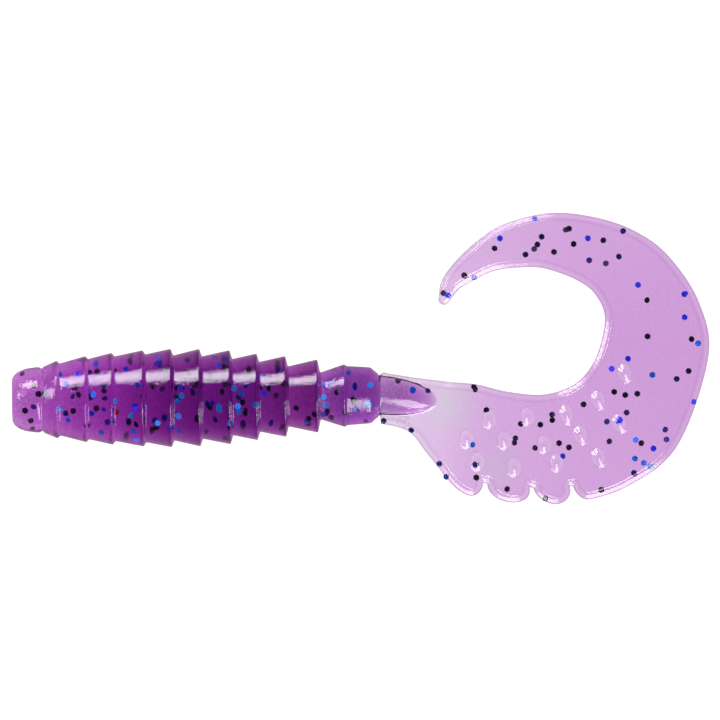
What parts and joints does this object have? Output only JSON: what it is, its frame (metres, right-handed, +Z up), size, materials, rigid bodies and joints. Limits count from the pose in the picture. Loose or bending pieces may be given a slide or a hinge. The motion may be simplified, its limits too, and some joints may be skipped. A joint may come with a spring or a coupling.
{
  "type": "soft plastic worm",
  "caption": "Ribbed curly-tail grub of clear purple soft plastic with glitter, lying flat; it bends at its grooves and across its scalloped fin and curl.",
  "frame": {"origin": "middle of the worm's plan, on the surface that it lies on", "axes": "+X from the nose to the tail along the body, +Y across the body towards the open curl's tip, +Z up from the surface"},
  "size_m": [0.0636, 0.0265, 0.0089],
  "materials": {
    "body_plastic": "clear purple soft plastic, deep in colour where thick, glossy, with hexagonal glitter flakes",
    "tail_plastic": "the same clear purple soft plastic, pale lilac where thin, glossy, with hexagonal glitter flakes"
  },
  "bodies": {
    "nose": {"nose": "body_plastic"},
    "rib_01": {"rib_01": "body_plastic"},
    "rib_02": {"rib_02": "body_plastic"},
    "rib_03": {"rib_03": "body_plastic"},
    "rib_04": {"rib_04": "body_plastic"},
    "rib_05": {"rib_05": "body_plastic"},
    "rib_06": {"rib_06": "body_plastic"},
    "rib_07": {"rib_07": "body_plastic"},
    "rib_08": {"rib_08": "body_plastic"},
    "rib_09": {"rib_09": "body_plastic"},
    "rib_10": {"rib_10": "body_plastic"},
    "collar": {"collar": "body_plastic"},
    "tail_root": {"tail_root": "tail_plastic"},
    "fin_front": {"fin_front": "tail_plastic"},
    "fin_rear": {"fin_rear": "tail_plastic"},
    "curl_heel": {"curl_heel": "tail_plastic"},
    "curl_back": {"curl_back": "tail_plastic"},
    "curl_crest": {"curl_crest": "tail_plastic"},
    "curl_hook": {"curl_hook": "tail_plastic"},
    "curl_barb": {"curl_barb": "tail_plastic"},
    "curl_tip": {"curl_tip": "tail_plastic"}
  },
  "joints": [
    {"name": "side_bend_1", "type": "hinge", "parent": "nose", "child": "rib_01", "pos_m": [-0.02885, -0.00335, 0.00445], "axis": [0, 0, 1], "range_deg": [-10, 10], "stiffness_Nm_per_rad": 0.004},
    {"name": "arch_1", "type": "hinge", "parent": "rib_01", "child": "rib_02", "pos_m": [-0.02755, -0.00335, 0.00445], "axis": [0, -1, 0], "range_deg": [-10, 10], "stiffness_Nm_per_rad": 0.004},
    {"name": "side_bend_2", "type": "hinge", "parent": "rib_02", "child": "rib_03", "pos_m": [-0.02495, -0.00335, 0.00445], "axis": [0, 0, 1], "range_deg": [-10, 10], "stiffness_Nm_per_rad": 0.004},
    {"name": "arch_2", "type": "hinge", "parent": "rib_03", "child": "rib_04", "pos_m": [-0.02255, -0.00335, 0.00445], "axis": [0, -1, 0], "range_deg": [-10, 10], "stiffness_Nm_per_rad": 0.004},
    {"name": "side_bend_3", "type": "hinge", "parent": "rib_04", "child": "rib_05", "pos_m": [-0.01975, -0.00335, 0.00445], "axis": [0, 0, 1], "range_deg": [-10, 10], "stiffness_Nm_per_rad": 0.004},
    {"name": "arch_3", "type": "hinge", "parent": "rib_05", "child": "rib_06", "pos_m": [-0.0172, -0.00335, 0.00445], "axis": [0, -1, 0], "range_deg": [-10, 10], "stiffness_Nm_per_rad": 0.004},
    {"name": "side_bend_4", "type": "hinge", "parent": "rib_06", "child": "rib_07", "pos_m": [-0.0146, -0.00335, 0.00445], "axis": [0, 0, 1], "range_deg": [-10, 10], "stiffness_Nm_per_rad": 0.004},
    {"name": "arch_4", "type": "hinge", "parent": "rib_07", "child": "rib_08", "pos_m": [-0.01185, -0.00335, 0.00445], "axis": [0, -1, 0], "range_deg": [-10, 10], "stiffness_Nm_per_rad": 0.004},
    {"name": "side_bend_5", "type": "hinge", "parent": "rib_08", "child": "rib_09", "pos_m": [-0.0094, -0.00335, 0.00445], "axis": [0, 0, 1], "range_deg": [-10, 10], "stiffness_Nm_per_rad": 0.004},
    {"name": "arch_5", "type": "hinge", "parent": "rib_09", "child": "rib_10", "pos_m": [-0.0068, -0.00335, 0.00445], "axis": [0, -1, 0], "range_deg": [-10, 10], "stiffness_Nm_per_rad": 0.004},
    {"name": "side_bend_6", "type": "hinge", "parent": "rib_10", "child": "collar", "pos_m": [-0.0039, -0.00335, 0.00445], "axis": [0, 0, 1], "range_deg": [-10, 10], "stiffness_Nm_per_rad": 0.004},
    {"name": "arch_6", "type": "hinge", "parent": "collar", "child": "tail_root", "pos_m": [0.00175, -0.00335, 0.00445], "axis": [0, -1, 0], "range_deg": [-10, 10], "stiffness_Nm_per_rad": 0.004},
    {"name": "tail_wag", "type": "hinge", "parent": "tail_root", "child": "fin_front", "pos_m": [0.0071, -0.00573, 0.00442], "axis": [-0.2081, -0.9781, 0], "range_deg": [-40, 40], "stiffness_Nm_per_rad": 0.0004},
    {"name": "fin_flutter", "type": "hinge", "parent": "fin_front", "child": "fin_rear", "pos_m": [0.01427, -0.00789, 0.00204], "axis": [0.1924, -0.9813, 0], "range_deg": [-20, 20], "stiffness_Nm_per_rad": 0.0003},
    {"name": "heel_flutter", "type": "hinge", "parent": "fin_rear", "child": "curl_heel", "pos_m": [0.02185, -0.00725, 0.00055], "axis": [0.4586, -0.8886, 0], "range_deg": [-20, 20], "stiffness_Nm_per_rad": 0.0003},
    {"name": "back_flutter", "type": "hinge", "parent": "curl_heel", "child": "curl_back", "pos_m": [0.02685, 0.00065, 0.00055], "axis": [0.979, -0.204, 0], "range_deg": [-20, 20], "stiffness_Nm_per_rad": 0.0003},
    {"name": "crest_flutter", "type": "hinge", "parent": "curl_back", "child": "curl_crest", "pos_m": [0.0248, 0.00725, 0.00055], "axis": [0.9072, 0.4207, 0], "range_deg": [-15, 15], "stiffness_Nm_per_rad": 0.0002},
    {"name": "hook_flutter", "type": "hinge", "parent": "curl_crest", "child": "curl_hook", "pos_m": [0.02, 0.01, 0.00055], "axis": [0.5194, 0.8545, 0], "range_deg": [-15, 15], "stiffness_Nm_per_rad": 0.0002},
    {"name": "barb_flutter", "type": "hinge", "parent": "curl_hook", "child": "curl_barb", "pos_m": [0.01365, 0.01005, 0.00055], "axis": [-0.1961, 0.9806, 0], "range_deg": [-15, 15], "stiffness_Nm_per_rad": 0.0001},
    {"name": "tip_flutter", "type": "hinge", "parent": "curl_barb", "child": "curl_tip", "pos_m": [0.00965, 0.00787, 0.00055], "axis": [-0.7372, 0.6757, 0], "range_deg": [-15, 15], "stiffness_Nm_per_rad": 0.0001}
  ],
  "couplings": [
    {"joint": "side_bend_2", "follows": "side_bend_1", "ratio": 1},
    {"joint": "arch_2", "follows": "arch_1", "ratio": 1},
    {"joint": "side_bend_3", "follows": "side_bend_1", "ratio": 1},
    {"joint": "arch_3", "follows": "arch_1", "ratio": 1},
    {"joint": "side_bend_4", "follows": "side_bend_1", "ratio": 1},
    {"joint": "arch_4", "follows": "arch_1", "ratio": 1},
    {"joint": "side_bend_5", "follows": "side_bend_1", "ratio": 1},
    {"joint": "arch_5", "follows": "arch_1", "ratio": 1},
    {"joint": "side_bend_6", "follows": "side_bend_1", "ratio": 1},
    {"joint": "arch_6", "follows": "arch_1", "ratio": 1},
    {"joint": "back_flutter", "follows": "heel_flutter", "ratio": 1},
    {"joint": "hook_flutter", "follows": "crest_flutter", "ratio": 1},
    {"joint": "barb_flutter", "follows": "crest_flutter", "ratio": 1},
    {"joint": "tip_flutter", "follows": "crest_flutter", "ratio": 1}
  ]
}
